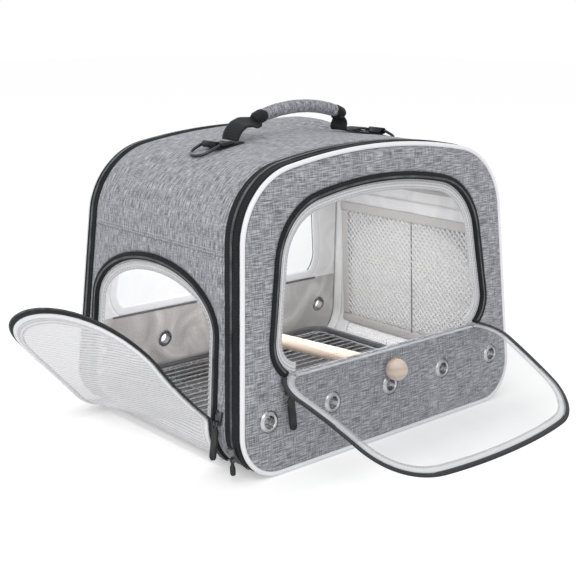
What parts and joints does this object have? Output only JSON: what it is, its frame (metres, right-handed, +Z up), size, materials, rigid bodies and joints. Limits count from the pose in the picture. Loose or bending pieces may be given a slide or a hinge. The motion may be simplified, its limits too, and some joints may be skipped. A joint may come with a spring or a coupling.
{
  "type": "bird travel carrier",
  "caption": "Soft-sided bird travel carrier with a clear front flap, a mesh side door, a wooden perch, a floor tray with a wire grate and a padded carry handle.",
  "frame": {"origin": "middle of the underside, on the floor", "axes": "+X along the width, to the right seen from the front; the front panel with its clear flap faces -Y; +Z up"},
  "size_m": [0.5023, 0.4856, 0.3405],
  "materials": {
    "bottom_fabric": "dark grey woven polyester",
    "shell_fabric": "heather grey woven polyester, padded",
    "board_plastic": "stiff grey polypropylene board",
    "zip_tape": "black woven zip tape and binding tape",
    "zip_coil": "black nylon coil",
    "white_piping": "white vinyl piping",
    "white_binding": "white stitched ribbon",
    "eyelet_nickel": "nickel-plated rolled eyelets",
    "clear_film": "clear flexible vinyl film",
    "white_mesh": "white polyester mesh",
    "pocket_tape": "light grey binding tape",
    "tray_steel": "pressed stainless steel, satin",
    "wire_steel": "drawn and polished stainless wire",
    "perch_wood": "turned pale hardwood, sanded",
    "black_webbing": "black polyester webbing",
    "ring_metal": "dark plated steel wire",
    "slider_metal": "black lacquered die-cast metal",
    "pull_plastic": "black moulded soft plastic"
  },
  "bodies": {
    "carrier": {"bottom_panel": "bottom_fabric", "left_side_panel": "shell_fabric", "right_side_panel": "shell_fabric", "top_panel": "shell_fabric", "base_board": "board_plastic", "front_shell_tape": "zip_tape", "front_panel_tape": "zip_tape", "front_zip_coil": "zip_coil", "back_shell_tape": "zip_tape", "back_panel_tape": "zip_tape", "back_zip_coil": "zip_coil", "front_panel": "shell_fabric", "front_piping": "white_piping", "front_window_binding": "zip_tape", "front_inner_band": "white_binding", "front_hem": "shell_fabric", "front_eyelets": "eyelet_nickel", "back_panel": "shell_fabric", "back_piping": "white_piping", "back_window_binding": "zip_tape", "back_window": "clear_film", "back_eyelets": "eyelet_nickel", "door_frame_binding": "zip_tape", "door_inner_band": "white_binding", "right_window_mesh": "white_mesh", "right_window_binding": "zip_tape", "mesh_pocket": "white_mesh", "pocket_binding": "pocket_tape", "perch": "perch_wood", "back_knob": "perch_wood", "strap_anchors": "black_webbing", "front_zip_slider": "slider_metal", "back_zip_slider": "slider_metal", "flap_slider": "slider_metal", "door_slider": "slider_metal"},
    "front_flap": {"flap_window": "clear_film", "flap_edge": "white_binding", "flap_zip_tape": "zip_tape"},
    "side_door": {"door_mesh": "white_mesh", "door_piping": "white_piping", "door_zip_tape": "zip_tape"},
    "handle": {"handle_grip": "shell_fabric", "handle_caps": "black_webbing", "handle_straps": "black_webbing"},
    "left_ring": {"left_d_ring": "ring_metal"},
    "right_ring": {"right_d_ring": "ring_metal"},
    "front_zip_tag": {"front_zip_pull": "pull_plastic"},
    "back_zip_tag": {"back_zip_pull": "pull_plastic"},
    "flap_tag": {"flap_pull": "pull_plastic"},
    "door_tag": {"door_pull": "pull_plastic"},
    "perch_knob": {"front_knob": "perch_wood"},
    "tray_body": {"tray": "tray_steel"},
    "grate_body": {"grate_frame": "wire_steel", "grate_wires": "wire_steel", "grate_feet": "wire_steel"}
  },
  "joints": [
    {"name": "front_flap_hinge", "type": "hinge", "parent": "carrier", "child": "front_flap", "pos_m": [0, -0.1434, 0.09578], "axis": [1, 0, 0], "range_deg": [-112, 4]},
    {"name": "side_door_hinge", "type": "hinge", "parent": "carrier", "child": "side_door", "pos_m": [-0.1843, 0, 0.0095], "axis": [0, -1, 0], "range_deg": [-36, 36]},
    {"name": "handle_swing", "type": "hinge", "parent": "carrier", "child": "handle", "pos_m": [0, 0, 0.30342], "axis": [1, 0, 0], "range_deg": [-50, 50]},
    {"name": "left_ring_hinge", "type": "hinge", "parent": "carrier", "child": "left_ring", "pos_m": [-0.121, 0, 0.30005], "axis": [0, 1, 0], "range_deg": [0, 130]},
    {"name": "right_ring_hinge", "type": "hinge", "parent": "carrier", "child": "right_ring", "pos_m": [0.121, 0, 0.30005], "axis": [0, -1, 0], "range_deg": [0, 130]},
    {"name": "front_zip_tag_hinge", "type": "hinge", "parent": "carrier", "child": "front_zip_tag", "pos_m": [-0.20059, -0.13266, 0.02227], "axis": [0, 0.9968, -0.0802], "range_deg": [-10, 110]},
    {"name": "back_zip_tag_hinge", "type": "hinge", "parent": "carrier", "child": "back_zip_tag", "pos_m": [0.20059, 0.13615, 0.02255], "axis": [0, -0.9968, -0.0802], "range_deg": [-10, 110]},
    {"name": "flap_tag_hinge", "type": "hinge", "parent": "carrier", "child": "flap_tag", "pos_m": [-0.14303, -0.14872, 0.08016], "axis": [-1, 0, 0], "range_deg": [-4, 52]},
    {"name": "door_tag_hinge", "type": "hinge", "parent": "carrier", "child": "door_tag", "pos_m": [-0.20379, -0.1125, 0.0538], "axis": [0, 1, 0], "range_deg": [-3, 110]},
    {"name": "perch_knob_spin", "type": "hinge", "parent": "carrier", "child": "perch_knob", "pos_m": [0, -0.14406, 0.07376], "axis": [0, 0.9981, -0.0618], "continuous": true},
    {"name": "tray_lift", "type": "slide", "parent": "carrier", "child": "tray_body", "axis": [0, 0, 1], "range_m": [0, 0.01]},
    {"name": "grate_lift", "type": "slide", "parent": "tray_body", "child": "grate_body", "axis": [0, 0, 1], "range_m": [0, 0.01]}
  ]
}
